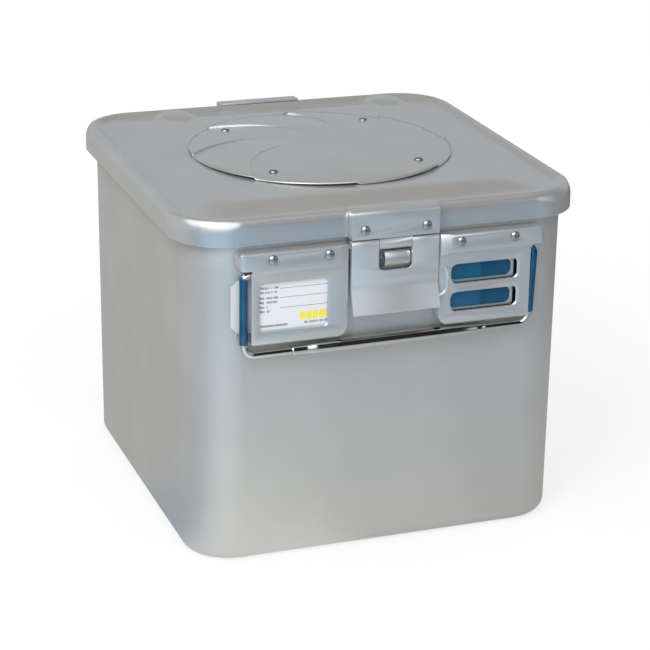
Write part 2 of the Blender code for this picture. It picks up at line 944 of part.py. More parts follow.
def build_frame_rivets():
    inner = frame_front - frame_sheet - seat_gap
    seat = frame_front + seat_gap
    rivets = []
    for side in (-1, 1):
        for position in frame_rivet_positions:
            profile = headed_profile(rivet_head_radius, rivet_head_height) + [
                (rivet_shank_radius, 0),
                (rivet_shank_radius, inner - seat),
                (rivet_tail_radius, inner - seat),
                (rivet_tail_radius, bolted_on - seat),
                (0, bolted_on - seat),
            ]
            place = facing_front(side * position, seat, frame_rivet_height)
            name = f"front_frame_rivet_{len(rivets) + 1}"
            rivets.append(finish_part(turned(profile, rivet_segments, place), name, "stainless_steel"))
    return rivets


def build_plate_rivets():
    seat = plate_front + seat_gap
    tail = lid_front - lid_wall - seat_gap
    rivets = []
    for side, word in ((-1, "left"), (1, "right")):
        profile = headed_profile(rivet_head_radius, rivet_head_height) + [
            (rivet_shank_radius, 0),
            (rivet_shank_radius, tail - seat),
            (rivet_tail_radius, tail - seat),
            (rivet_tail_radius, tail - seat - rivet_tail_height),
            (0, tail - seat - rivet_tail_height),
        ]
        place = facing_front(side * plate_rivet_spacing / 2, seat, plate_rivet_height)
        name = f"front_plate_rivet_{word}"
        rivets.append(finish_part(turned(profile, rivet_segments, place), name, "stainless_steel"))
    return rivets


def build_bail():
    top = bail_axis_height
    low = bail_axis_height - bail_drop
    route = filleted(
        [
            (-bail_tip, top),
            (-bail_half_span, top, bail_top_bend),
            (-bail_half_span, low, bail_bottom_bend),
            (bail_half_span, low, bail_bottom_bend),
            (bail_half_span, top, bail_top_bend),
            (bail_tip, top),
        ],
        segments=bail_bend_segments,
        closed=False,
    )
    curve = bpy.data.curves.new("bail", "CURVE")
    curve.dimensions = "3D"
    curve.bevel_depth = bail_rod_radius
    curve.bevel_resolution = 3
    curve.use_fill_caps = True
    spline = curve.splines.new("POLY")
    spline.points.add(len(route) - 1)
    for point, place in zip(spline.points, route):
        point.co = (place[0], -bail_axis_front, place[1], 1)
    bail = settle(add_object("bail", curve, cutters))
    return finish_part(bail, "front_bail", "chrome", smooth_angle=50)


def tube(inner_radius, outer_radius, length, matrix):
    half = length / 2
    profile = [
        (outer_radius, half),
        (outer_radius, -half),
        (inner_radius, -half),
        (inner_radius, half),
    ]
    return turned(profile, 16, matrix, closed=True)


def build_grip():
    place = along_width(bail_axis_front, bail_axis_height - bail_drop)
    grip = tube(bail_rod_radius + seat_gap, grip_radius, grip_length, place)
    return finish_part(grip, "front_bail_grip", "chrome")


def build_sleeves():
    sleeves = []
    middle = bail_axis_height - sleeve_start - sleeve_length / 2
    for side, word in ((-1, "left"), (1, "right")):
        place = upright(side * bail_half_span, -bail_axis_front, middle)
        sleeve = tube(bail_rod_radius + seat_gap, sleeve_radius, sleeve_length, place)
        sleeves.append(finish_part(sleeve, f"front_bail_sleeve_{word}", "blue_plastic"))
    return sleeves


def build_card():
    near = bolted_on
    bottom = tub_rim_height - card_bottom_drop
    top = tub_rim_height - card_top_drop
    far = panel_front - frame_sheet - seat_gap - card_thickness
    ramp_end = frame_panel_end - card_ramp
    plan = [
        (-card_outer_end, -near),
        (-frame_panel_end, -near),
        (-ramp_end, -far),
        (-card_inner_end, -far),
        (-card_inner_end, -(far + card_thickness)),
        (-ramp_end, -(far + card_thickness)),
        (-frame_panel_end, -(near + card_thickness)),
        (-card_outer_end, -(near + card_thickness)),
    ]
    card = plan_block(plan, bottom, top)
    face = [
        (-card_inner_end + card_chamfer, bottom - card_chamfer),
        (-card_inner_end + card_chamfer, top + card_chamfer),
        (-card_outer_end + card_chamfer, top + card_chamfer),
        (-card_outer_end + card_chamfer, top),
        (-card_outer_end, top - card_chamfer),
        (-card_outer_end, bottom + card_chamfer),
        (-card_outer_end + card_chamfer, bottom),
        (-card_outer_end + card_chamfer, bottom - card_chamfer),
    ]
    card = trim(card, front_block(face, near - cut_overrun, far + cut_overrun))
    return finish_part(card, "front_label_card", "label_card")


def build_indicator():
    far = panel_front - plunge_depth - seat_gap
    low = (indicator_start, frame_bottom + frame_sheet + seat_gap)
    high = (indicator_end, tub_rim_height - indicator_top_drop)
    outline = rounded_opening(low, high, opening_corner)
    plate = front_block(outline, far - indicator_thickness, far)
    return finish_part(plate, "front_indicator_plate", "blue_plastic")


# Assembly: empties stand on the joint axes, and the back pieces share the front pieces' meshes
def add_empty(name, place, parent=None):
    empty = bpy.data.objects.new(name, None)
    empty.empty_display_size = tub_floor_radius
    empty.location = place
    empty.parent = parent
    parts.objects.link(empty)
    return empty


def carry(obj, empty, axis_place):
    obj.parent = empty
    obj.location = -Vector(axis_place)


def assemble():
    centre = Vector((0, 0, 0))
    lever_axis = Vector((0, -hinge_front, hinge_height))
    bail_axis = Vector((0, -bail_axis_front, bail_axis_height))
    for builder in (build_tub, build_lid_shell, build_seal, build_cover, build_cover_rivets, build_filter):
        builder()
    on_tub = [build_keeper(), build_label_frame(), build_slotted_frame(), build_card()]
    on_tub += [build_indicator()] + build_frame_rivets()
    on_lid = [build_lid_plate(), build_hinge_pin()] + build_plate_rivets()
    groups = (
        ("tub_fittings", centre, on_tub),
        ("lid_fittings", centre, on_lid),
        ("latch_axis", lever_axis, [build_lever()]),
        ("bail_axis", bail_axis, [build_bail(), build_grip()] + build_sleeves()),
    )
    for side, angle in (("front", 0), ("back", math.pi)):
        side_empty = add_empty(f"{side}_side", centre)
        side_empty.rotation_euler.z = angle
        for group, axis, pieces in groups:
            empty = add_empty(f"{side}_{group}", axis, side_empty)
            for piece in pieces:
                placed = piece
                if side == "back":
                    name = piece.name.replace("front", "back")
                    placed = add_object(name, piece.data, parts)
                carry(placed, empty, axis)


assemble()
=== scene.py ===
import json
import math

import bmesh
import bpy
from mathutils import Matrix, Vector

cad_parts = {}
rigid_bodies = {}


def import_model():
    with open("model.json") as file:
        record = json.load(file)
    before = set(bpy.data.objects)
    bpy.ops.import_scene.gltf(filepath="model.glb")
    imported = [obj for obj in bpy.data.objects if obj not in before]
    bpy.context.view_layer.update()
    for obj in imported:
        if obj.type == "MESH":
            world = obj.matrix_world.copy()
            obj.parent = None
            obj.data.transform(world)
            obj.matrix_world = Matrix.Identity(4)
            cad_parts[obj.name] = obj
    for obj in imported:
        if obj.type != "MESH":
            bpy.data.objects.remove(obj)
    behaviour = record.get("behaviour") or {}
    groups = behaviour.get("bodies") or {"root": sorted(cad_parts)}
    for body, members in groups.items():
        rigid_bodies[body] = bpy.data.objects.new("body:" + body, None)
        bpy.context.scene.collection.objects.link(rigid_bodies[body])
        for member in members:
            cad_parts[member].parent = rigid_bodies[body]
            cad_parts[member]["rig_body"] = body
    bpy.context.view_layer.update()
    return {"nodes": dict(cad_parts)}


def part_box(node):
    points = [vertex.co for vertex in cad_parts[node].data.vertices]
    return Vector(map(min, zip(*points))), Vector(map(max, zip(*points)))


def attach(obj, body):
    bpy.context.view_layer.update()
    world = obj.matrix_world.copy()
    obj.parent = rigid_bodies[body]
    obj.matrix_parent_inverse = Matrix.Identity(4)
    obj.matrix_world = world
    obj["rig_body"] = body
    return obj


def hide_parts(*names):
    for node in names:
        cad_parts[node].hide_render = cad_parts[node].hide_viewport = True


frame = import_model()
print("frame loaded:", len(frame["nodes"]), "nodes")

# camera, with its angles in radians

shot = {
    "place": (-0.53025, -1.47428, 0.69542),
    "yaw": 0.3708, "pitch": 0.3551, "roll": 0.02266,
    "lens": 122.27, "sensor": 36, "shiftX": -0.0699, "shiftY": 0.0013,
}


def placeCamera():
    yaw, pitch, roll = shot["yaw"], shot["pitch"], shot["roll"]
    ahead = Vector((math.sin(yaw) * math.cos(pitch), math.cos(yaw) * math.cos(pitch), -math.sin(pitch)))
    right = Vector((math.cos(yaw), -math.sin(yaw), 0))
    up = right.cross(ahead)
    right, up = (right * math.cos(roll) + up * math.sin(roll),
                 up * math.cos(roll) - right * math.sin(roll))
    camera = bpy.data.objects.new("camera", bpy.data.cameras.new("camera"))
    camera.data.sensor_width = shot["sensor"]
    camera.data.lens = shot["lens"]
    camera.data.shift_x, camera.data.shift_y = shot["shiftX"], shot["shiftY"]
    turn = Matrix((right, up, -ahead)).transposed().to_4x4()
    camera.matrix_world = Matrix.Translation(shot["place"]) @ turn
    bpy.context.scene.collection.objects.link(camera)
    bpy.context.scene.camera = camera


placeCamera()

# material maker


class Wire:
    # a socket that takes part in sums, each of which adds a Math node
    def __init__(self, tree, socket):
        self.tree, self.socket = tree, socket

    def math(self, operation, *terms):
        node = self.tree.nodes.new("ShaderNodeMath")
        node.operation = operation
        for place, term in zip(node.inputs, terms):
            if isinstance(term, Wire):
                self.tree.links.new(term.socket, place)
            else:
                place.default_value = term
        return Wire(self.tree, node.outputs[0])

    def __add__(self, other): return self.math("ADD", self, other)
    def __radd__(self, other): return self.math("ADD", other, self)
    def __sub__(self, other): return self.math("SUBTRACT", self, other)
    def __rsub__(self, other): return self.math("SUBTRACT", other, self)
    def __mul__(self, other): return self.math("MULTIPLY", self, other)
    def __rmul__(self, other): return self.math("MULTIPLY", other, self)
    def __truediv__(self, other): return self.math("DIVIDE", self, other)
    def __abs__(self): return self.math("ABSOLUTE", self)
    def most(self, other): return self.math("MAXIMUM", self, other)


class Finish:
    # one material, or the world, and the nodes that make it
    def __init__(self, owner):
        self.owner = bpy.data.materials.new(owner) if isinstance(owner, str) else owner
        self.owner.use_nodes = True
        self.tree = self.owner.node_tree
        self.tree.nodes.clear()

    def node(self, kind, settings={}, inputs={}, output=0):
        node = self.tree.nodes.new(kind)
        for key, value in settings.items():
            setattr(node, key, value)
        for key, value in inputs.items():
            if isinstance(value, Wire):
                self.tree.links.new(value.socket, node.inputs[key])
            else:
                node.inputs[key].default_value = value
        return Wire(self.tree, node.outputs[output]) if node.outputs else node

    def place(self):  # object coordinates in metres
        return self.node("ShaderNodeTexCoord", output="Object")

    def axes(self, vector):
        return [self.node("ShaderNodeSeparateXYZ", inputs={0: vector}, output=axis) for axis in range(3)]

    def noise(self, size, stretch=(1, 1, 1), detail=3.0):  # size of one grain in metres
        scale = tuple(part / size for part in stretch)
        mapped = self.node("ShaderNodeMapping", inputs={"Vector": self.place(), "Scale": scale})
        return self.node("ShaderNodeTexNoise", inputs={"Vector": mapped, "Scale": 1.0, "Detail": detail})

    def ramp(self, value, low, high, start=0.0, end=1.0):  # smooth step from start to end
        return self.node("ShaderNodeMapRange", {"interpolation_type": "SMOOTHSTEP"},
                         {0: value, 1: low, 2: high, 3: start, 4: end})

    def vary(self, noise, start=0.0, end=1.0, margin=0.2):  # noise keeps mostly within its margins
        return self.ramp(noise, margin, 1 - margin, start, end)

    def blend(self, share, first, second):
        return self.node("ShaderNodeMix", {"data_type": "RGBA"}, {0: share, 6: first, 7: second}, output=2)

    def bump(self, height, distance, strength):
        return self.node("ShaderNodeBump", inputs={
            "Height": height, "Distance": distance, "Strength": strength})

    def end(self, surface, kind="ShaderNodeOutputMaterial"):
        self.node(kind, inputs={"Surface": surface})
        return self.owner

    def shader(self, **inputs):
        words = {key.replace("_", " "): value for key, value in inputs.items()}
        return self.end(self.node("ShaderNodeBsdfPrincipled", inputs=words))


def rgb(red, green, blue):
    return (red, green, blue, 1.0)


# floor, lamp and sky. Mirrors see a glow in place of the floor and the sky. It depends on reach, the distance from
# the middle, and on east, north and up, the parts of a direction. A range says where a blend starts and ends.

studio = {
    "floorSize": 6.0, "floorShadow": 0.30, "shadowReach": (0.30, 0.85),
    "nearGlow": rgb(0.54, 0.53, 0.49), "farGlow": rgb(0.17, 0.36, 0.53),
    "awayReach": (0.30, 0.84), "awayNorth": (0.1, -0.6),
    "westEast": (-0.60, -0.92), "westNorth": (0.10, -0.20), "westShare": 0.45,
    "sideGlow": 0.79, "frontGlow": 1.06, "frontWay": (-0.25, -0.968), "frontRange": (0.60, 0.99),
    "bandGlow": 0.66, "bandWay": (-0.52, -0.854), "bandRange": (0.86, 0.99),
    "skyLow": rgb(0.42, 0.44, 0.46), "skyTop": rgb(0.295, 0.248, 0.188), "skyEast": rgb(0.230, 0.198, 0.160),
    "topRange": (0.40, 0.52), "eastRange": (0.28, 0.50),
    "skyFront": rgb(0.60, 0.66, 0.72), "frontNorth": (-0.35, -0.65), "frontUp": (0.62, 0.42),
    "box": rgb(1.70, 1.77, 1.80),
    "boxWays": ((-0.30, -0.60, 0.742), (-0.70, -0.17, 0.69)), "boxRanges": ((0.68, 0.92), (0.86, 0.96)),
    "room": rgb(0.09, 0.10, 0.11),
    "roomFloorWay": (0.95, 0.30), "roomFloorRange": (0.36, 0.64),
    "roomSkyWay": (0.75, -0.66), "roomSkyRange": (0.25, 0.80),
    "core": rgb(0.020, 0.018, 0.016), "coreStart": (0.16, 0.22), "coreEnd": (0.50, 0.44),
    "coreReach": (0.85, 1.10), "coreFloorNorth": (-0.40, -0.75), "coreSkyNorth": (-0.32, -0.40),
    "fill": rgb(0.83, 0.83, 0.83), "white": rgb(1, 1, 1),
    "lampPlace": (-0.95, -0.95, 1.45), "lampAim": (0, 0, 0.15), "lampSize": 0.7, "lampPower": 12.0,
}


def along(way, *parts):
    # how far a place or direction lies along a way
    total = parts[0] * way[0]
    for part, share in zip(parts[1:], way[1:]):
        total = total + part * share
    return total


def darkStrip(finish, east):
    # one dark upright strip of the room in front
    return finish.ramp(east, *studio["coreStart"]) * finish.ramp(east, *studio["coreEnd"])


def makeFloor():
    size = studio["floorSize"]
    mesh = bpy.data.meshes.new("floor")
    corners = [(-size, -size, 0), (size, -size, 0), (size, size, 0), (-size, size, 0)]
    mesh.from_pydata(corners, [], [(0, 1, 2, 3)])
    floor = bpy.data.objects.new("floor", mesh)
    bpy.context.scene.collection.objects.link(floor)
    finish = Finish("paleFloor")
    here = finish.place()
    reach = finish.node("ShaderNodeVectorMath", {"operation": "LENGTH"}, {0: here}, output="Value")
    east, north, _ = finish.axes(here)
    away = finish.ramp(reach, *studio["awayReach"]) * finish.ramp(north / reach, *studio["awayNorth"])
    west = finish.ramp(east / reach, *studio["westEast"]) * finish.ramp(north / reach, *studio["westNorth"])
    glow = finish.blend(away.most(west * studio["westShare"]), studio["nearGlow"], studio["farGlow"])
    dark = finish.ramp(along(studio["roomFloorWay"], east, north), *studio["roomFloorRange"])
    glow = finish.blend(dark, glow, studio["room"])
    beyond = finish.ramp(reach, *studio["coreReach"]) * finish.ramp(north / reach, *studio["coreFloorNorth"])
    glow = finish.blend(beyond * darkStrip(finish, east / reach), glow, studio["core"])
    front = finish.ramp(along(studio["frontWay"], east, north) / reach, *studio["frontRange"],
                        studio["sideGlow"], studio["frontGlow"])
    band = finish.ramp(along(studio["bandWay"], east, north) / reach, *studio["bandRange"],
                       0.0, studio["bandGlow"])
    mirrored = finish.node("ShaderNodeEmission", inputs={"Color": glow, "Strength": front + band})
    white = finish.node("ShaderNodeEmission", inputs={"Color": studio["white"]})
    shaded = finish.node("ShaderNodeBsdfDiffuse", inputs={"Color": studio["white"]})
    shadow = finish.ramp(reach, *studio["shadowReach"], studio["floorShadow"], 0.0)
    plain = finish.node("ShaderNodeMixShader", inputs={0: shadow, 1: white, 2: shaded})
    glossy = finish.node("ShaderNodeLightPath", output="Is Glossy Ray")
    surface = finish.node("ShaderNodeMixShader", inputs={0: glossy, 1: plain, 2: mirrored})
    mesh.materials.append(finish.end(surface))


def makeSky():
    world = bpy.data.worlds.new("studio")
    bpy.context.scene.world = world
    finish = Finish(world)
    east, north, up = finish.axes(finish.node("ShaderNodeTexCoord", output="Generated"))
    colour = finish.blend(finish.ramp(east, *studio["eastRange"]), studio["skyTop"], studio["skyEast"])
    colour = finish.blend(finish.ramp(up, *studio["topRange"]), studio["skyLow"], colour)
    dark = finish.ramp(along(studio["roomSkyWay"], east, north), *studio["roomSkyRange"])
    colour = finish.blend(dark, colour, studio["room"])
    level = finish.ramp(north, *studio["frontNorth"]) * finish.ramp(up, *studio["frontUp"])
    colour = finish.blend(level, colour, studio["skyFront"])
    first, second = [finish.ramp(along(way, east, north, up), *span)
                     for way, span in zip(studio["boxWays"], studio["boxRanges"])]
    colour = finish.blend(first.most(second), colour, studio["box"])
    strip = finish.ramp(north, *studio["coreSkyNorth"]) * darkStrip(finish, east)
    colour = finish.blend(strip, colour, studio["core"])
    glossy = finish.node("ShaderNodeLightPath", output="Is Glossy Ray")
    colour = finish.blend(glossy, studio["fill"], colour)
    seen = finish.node("ShaderNodeLightPath", output="Is Camera Ray")
    colour = finish.blend(seen, colour, studio["white"])
    finish.end(finish.node("ShaderNodeBackground", inputs={"Color": colour}), "ShaderNodeOutputWorld")


def makeLamp():
    lamp = bpy.data.lights.new("softbox", "AREA")
    lamp.energy, lamp.size = studio["lampPower"], studio["lampSize"]
    holder = bpy.data.objects.new("softbox", lamp)
    bpy.context.scene.collection.objects.link(holder)
    holder.location = studio["lampPlace"]
    aim = Vector(studio["lampAim"]) - holder.location
    holder.rotation_euler = aim.to_track_quat("-Z", "Y").to_euler()


makeFloor()
makeSky()
makeLamp()
bpy.context.scene.view_settings.view_transform = "Standard"
print("studio made")

# anodised finishes: bare metal under a milky oxide skin, so part of the light is scattered

skin = {
    "metallic": 0.62, "cloud": 0.05, "cloudShare": 0.7, "colourRange": (0.35, 0.65),
    "spread": 0.03, "bump": 0.5,
}
skins = {
    "brushedTub": {"light": rgb(0.58, 0.59, 0.59), "dark": rgb(0.55, 0.56, 0.56), "rough": 0.42,
                   "grain": 0.0008, "stretch": (0.04, 0.04, 1), "wave": 0.004, "waveDepth": 0.00001},
    "satinLid": {"light": rgb(0.58, 0.595, 0.605), "dark": rgb(0.56, 0.575, 0.585), "rough": 0.22,
                 "grain": 0.0006, "stretch": (1, 1, 1), "wave": 0.03, "waveDepth": 0.00020},
    "satinPlate": {"light": rgb(0.59, 0.61, 0.63), "dark": rgb(0.57, 0.59, 0.61), "rough": 0.30,
                   "grain": 0.0002, "stretch": (0.15, 1, 1), "wave": 0.02, "waveDepth": 0.00010},
    "satinLever": {"light": rgb(0.69, 0.70, 0.71), "dark": rgb(0.67, 0.68, 0.69), "rough": 0.30,
                   "grain": 0.0002, "stretch": (0.15, 1, 1), "wave": 0.02, "waveDepth": 0.00010},
}


def anodised(name):
    values = skins[name]
    finish = Finish(name)
    cloud = finish.noise(skin["cloud"], detail=2.0)
    wave = finish.noise(values["wave"], detail=1.0)
    grain = finish.noise(values["grain"], values["stretch"], detail=2.0)
    mixed = cloud * skin["cloudShare"] + grain * (1 - skin["cloudShare"])
    return finish.shader(
        Base_Color=finish.blend(finish.ramp(mixed, *skin["colourRange"]), values["dark"], values["light"]),
        Metallic=skin["metallic"],
        Roughness=finish.vary(grain, values["rough"] - skin["spread"], values["rough"] + skin["spread"]),
        Normal=finish.bump(wave, values["waveDepth"], skin["bump"]))


# plain finishes, of one grain. Rough is a value or the two that the grain varies it between, and bump is the
# depth in metres and the strength.

plain = {
    "satinSteel": {"dark": rgb(0.66, 0.65, 0.64), "light": rgb(0.78, 0.77, 0.76), "metallic": 1.0,
                   "rough": (0.40, 0.50), "grain": 0.0005, "stretch": (0.05, 1, 1), "bump": (0.00001, 0.3)},
    "rivetSteel": {"dark": rgb(0.44, 0.44, 0.45), "light": rgb(0.52, 0.52, 0.53), "metallic": 1.0,
                   "rough": (0.18, 0.26), "grain": 0.0008},
    "siliconeSeal": {"dark": rgb(0.36, 0.07, 0.05), "light": rgb(0.46, 0.10, 0.08),
                     "rough": (0.50, 0.65), "grain": 0.01, "bump": (0.00005, 0.4)},
    "filterPaper": {"dark": rgb(0.70, 0.70, 0.68), "light": rgb(0.80, 0.80, 0.78), "rough": 0.9,
                    "grain": 0.0015, "stretch": (1, 0.3, 1), "detail": 5.0, "bump": (0.0001, 0.5)},
}


def grained(name):
    values = plain[name]
    finish = Finish(name)
    grain = finish.noise(values["grain"], values.get("stretch", (1, 1, 1)), values.get("detail", 3.0))
    rough = values["rough"]
    rest = {"Normal": finish.bump(grain, *values["bump"])} if "bump" in values else {}
    return finish.shader(
        Base_Color=finish.blend(grain, values["dark"], values["light"]), Metallic=values.get("metallic", 0.0),
        Roughness=finish.vary(grain, *rough) if isinstance(rough, tuple) else rough, **rest)


rodChrome = {
    "dark": rgb(0.68, 0.66, 0.62), "light": rgb(0.80, 0.79, 0.77), "rough": (0.05, 0.11),
    "smear": 0.012, "stretch": (0.4, 1, 1), "grain": 0.0006, "bump": (0.000004, 0.3),
}


def chromeRod():
    finish = Finish("chromeRod")
    smear = finish.noise(rodChrome["smear"], rodChrome["stretch"], detail=4.0)
    grain = finish.noise(rodChrome["grain"])
    return finish.shader(
        Base_Color=finish.blend(smear, rodChrome["dark"], rodChrome["light"]), Metallic=1.0,
        Roughness=finish.vary(smear, *rodChrome["rough"], margin=0.3),
        Normal=finish.bump(grain, *rodChrome["bump"]))


# the plate behind the slots. Its blue is darker right of the step across it, and that step is painted shading.
# Beyond the gap's edge, and in a band below each slot given as low and high z, it is painted near black as shade.
# Each band has a pale line on top, a painted highlight.

indicator = {
    "dark": rgb(0.003, 0.060, 0.136), "light": rgb(0.012, 0.114, 0.225),
    "shadeStep": (0.0680, 0.0655), "shares": (0.15, 0.75), "cloud": 0.02, "cloudShares": (-0.15, 0.25),
    "gapShadeX": 0.0910, "shadeBands": ((0.1600, 0.1728), (0.1895, 0.1932)), "paintedShade": rgb(0.006, 0.007, 0.008),
    "highlightLine": 0.0009, "paintedHighlight": rgb(0.50, 0.48, 0.42), "soft": 0.0002,
    "rough": (0.16, 0.26), "grain": 0.0005, "bump": (0.000006, 0.3),
}


def bluePlastic():
    finish = Finish("bluePlastic")
    across, _, up = finish.axes(finish.place())
    cloud = finish.noise(indicator["cloud"], detail=2.0)
    grain = finish.noise(indicator["grain"])
    # painted shading: the blue is lighter left of the step across the plate
    share = (finish.ramp(across, *indicator["shadeStep"], *indicator["shares"])
             + finish.vary(cloud, *indicator["cloudShares"], margin=0.3))
    blue = finish.blend(share, indicator["dark"], indicator["light"])
    soft = indicator["soft"]
    # painted shade: near black beyond the gap's edge and in a band below each slot, each band topped by a pale
    # painted highlight line
    edge = finish.ramp(across, indicator["gapShadeX"] - soft / 2, indicator["gapShadeX"] + soft / 2)
    for low, high in indicator["shadeBands"]:
        highlightLine = high + indicator["highlightLine"]
        above = finish.ramp(up, low, low + soft)
        blue = finish.blend(above * finish.ramp(up, highlightLine, highlightLine - soft), blue, indicator["paintedHighlight"])
        edge = edge.most(above * finish.ramp(up, high, high - soft))
    return finish.shader(
        Base_Color=finish.blend(edge, blue, indicator["paintedShade"]),
        Roughness=finish.vary(grain, *indicator["rough"]), Normal=finish.bump(grain, *indicator["bump"]))


# the arm sleeves: their blue is a painted reflection, standing in for the blue mirrored along the arms, and its
# tone varies at random
sleeveReflectionBlue = {
    "dark": rgb(0.022, 0.125, 0.235), "light": rgb(0.045, 0.180, 0.310), "cloud": 0.015,
    "metallic": 0.85, "rough": (0.08, 0.14), "coat": 0.5, "coatRough": 0.05,
}


def paintedBlueReflection():
    finish = Finish("paintedBlueReflection")
    cloud = finish.noise(sleeveReflectionBlue["cloud"], detail=2.0)
    return finish.shader(
        Base_Color=finish.blend(finish.vary(cloud, margin=0.3), sleeveReflectionBlue["dark"], sleeveReflectionBlue["light"]),
        Metallic=sleeveReflectionBlue["metallic"], Roughness=finish.vary(cloud, *sleeveReflectionBlue["rough"], margin=0.3),
        Coat_Weight=sleeveReflectionBlue["coat"], Coat_Roughness=sleeveReflectionBlue["coatRough"])


# the card's marks, as x, z, half width and half height: ruled lines, grey strokes in place of words, and five
# yellow blocks

marks = {
    "lines": tuple((-0.0640, z, 0.0173, 0.00018) for z in (0.2032, 0.1966, 0.1893)),
    "strokes": tuple((x, z, halfWide, 0.0008) for x, z, halfWide in (
        (-0.0888, 0.2041, 0.0064), (-0.0894, 0.2010, 0.0058), (-0.0889, 0.1970, 0.0068),
        (-0.0895, 0.1939, 0.0062), (-0.0929, 0.1905, 0.0028), (-0.0921, 0.1875, 0.0035),
        (-0.0855, 0.1770, 0.0096), (-0.0556, 0.1772, 0.0086))),
    "blocks": tuple((-0.0652 + 0.0045 * number, 0.1822, 0.0019, 0.0028) for number in range(5)),
    "soft": 0.0001, "gap": 0.0010, "gapStretch": (1, 1, 0.05), "gapRange": (0.36, 0.46),
    "paper": rgb(0.68, 0.72, 0.74), "paperLight": rgb(0.73, 0.77, 0.79), "fibre": 0.0012,
    "ink": rgb(0.16, 0.17, 0.20), "faint": rgb(0.30, 0.31, 0.34), "yellow": rgb(0.86, 0.74, 0.06),
    "rough": 0.55, "bump": (0.00003, 0.3),
}


def cardPaper():
    finish = Finish("cardPaper")
    across, _, up = finish.axes(finish.place())
    soft = marks["soft"]

    def within(boxes):
        total = None
        for x, z, halfWide, halfHigh in boxes:
            inside = (finish.ramp(abs(across - x), halfWide + soft, halfWide - soft)
                      * finish.ramp(abs(up - z), halfHigh + soft, halfHigh - soft))
            total = inside if total is None else total.most(inside)
        return total

    fibres = finish.noise(marks["fibre"], detail=4.0)
    gaps = finish.noise(marks["gap"], marks["gapStretch"], detail=1.0)
    colour = finish.blend(fibres, marks["paper"], marks["paperLight"])
    colour = finish.blend(within(marks["lines"]), colour, marks["ink"])
    colour = finish.blend(within(marks["strokes"]) * finish.ramp(gaps, *marks["gapRange"]), colour, marks["faint"])
    colour = finish.blend(within(marks["blocks"]), colour, marks["yellow"])
    return finish.shader(Base_Color=colour, Roughness=marks["rough"], Normal=finish.bump(fibres, *marks["bump"]))


look = {
    "tub": anodised("brushedTub"), "lid": anodised("satinLid"),
    "plate": anodised("satinPlate"), "lever": anodised("satinLever"),
    "keeper": grained("satinSteel"), "rivet": grained("rivetSteel"), "chrome": chromeRod(),
    "blue": bluePlastic(), "sleeve": paintedBlueReflection(), "seal": grained("siliconeSeal"),
    "paper": grained("filterPaper"), "card": cardPaper(),
}
print("finishes made:", len(look))

# mesh tools


def meshFrom(name, shape, sharpAngle=35):
    bmesh.ops.recalc_face_normals(shape, faces=shape.faces)
    mesh = bpy.data.meshes.new(name)
    shape.to_mesh(mesh)
    shape.free()
    mesh.shade_smooth()
    mesh.set_sharp_from_angle(angle=math.radians(sharpAngle))
    return mesh


def putPiece(name, mesh, material, nodes, onBack=False):
    piece = bpy.data.objects.new(name, mesh)
    bpy.context.scene.collection.objects.link(piece)
    if not mesh.materials:
        mesh.materials.append(look[material])
    if onBack:
        piece.matrix_world = Matrix.Rotation(math.pi, 4, "Z")
    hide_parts(*nodes)
    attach(piece, frame["nodes"][nodes[0]]["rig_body"])
    return piece


def roundedRing(width, depth, radius, cornerSteps, edgeSteps):
    # points of a rounded rectangle, anticlockwise from the front right corner
    radius = max(radius, 0.0001)

    def cornerPoint(number, degrees):
        side, end = ((1, -1), (1, 1), (-1, 1), (-1, -1))[number % 4]
        centre = Vector((side * (width / 2 - radius), end * (depth / 2 - radius)))
        angle = math.radians(degrees)
        return centre + radius * Vector((math.cos(angle), math.sin(angle)))

    points = []
    for number in range(4):
        points += [cornerPoint(number, -90 + 90 * (number + step / cornerSteps))
                   for step in range(cornerSteps + 1)]
        last, after = points[-1], cornerPoint(number + 1, 90 * number)
        points += [last.lerp(after, step / edgeSteps) for step in range(1, edgeSteps)]
    return points


def loft(rings, capFirst=False, capLast=False, closed=False):
    shape = bmesh.new()
    rows = [[shape.verts.new(point) for point in ring] for ring in rings]
    pairs = list(zip(rows, rows[1:])) + ([(rows[-1], rows[0])] if closed else [])
    for lower, upper in pairs:
        for index in range(len(lower)):
            after = (index + 1) % len(lower)
            shape.faces.new((lower[index], lower[after], upper[after], upper[index]))
    if capFirst:
        shape.faces.new(rows[0])
    if capLast:
        shape.faces.new(rows[-1])
    return shape


def turned(profile, steps, place):
    # a (radius, height) profile turned about its height axis, with closed ends
    rings = [[place @ Vector((radius * math.cos(2 * math.pi * step / steps),
                              radius * math.sin(2 * math.pi * step / steps), height)) for step in range(steps)]
             for radius, height in profile]
    return loft(rings, capFirst=True, capLast=True)


def arc(centreA, centreB, radius, start, end, steps):
    return [(centreA + radius * math.cos(math.radians(start + (end - start) * step / steps)),
             centreB + radius * math.sin(math.radians(start + (end - start) * step / steps)))
            for step in range(steps + 1)]


def smoothShare(share):
    share = min(max(share, 0), 1)
    return share * share * (3 - 2 * share)


def carved(shape, tools):
    # the shape with the volume of every tool taken out of it
    body = bpy.data.objects.new("body", meshFrom("body", shape))
    holders = [body]
    for tool in tools:
        cutter = bpy.data.objects.new("cutter", meshFrom("cutter", tool))
        carve = body.modifiers.new("carve", "BOOLEAN")
        carve.object, carve.operation, carve.solver = cutter, "DIFFERENCE", "EXACT"
        holders.append(cutter)
    for holder in holders:
        bpy.context.scene.collection.objects.link(holder)
    result = bmesh.new()
    result.from_mesh(bpy.data.meshes.new_from_object(body.evaluated_get(bpy.context.evaluated_depsgraph_get())))
    for holder in holders:
        bpy.data.objects.remove(holder)
    return result


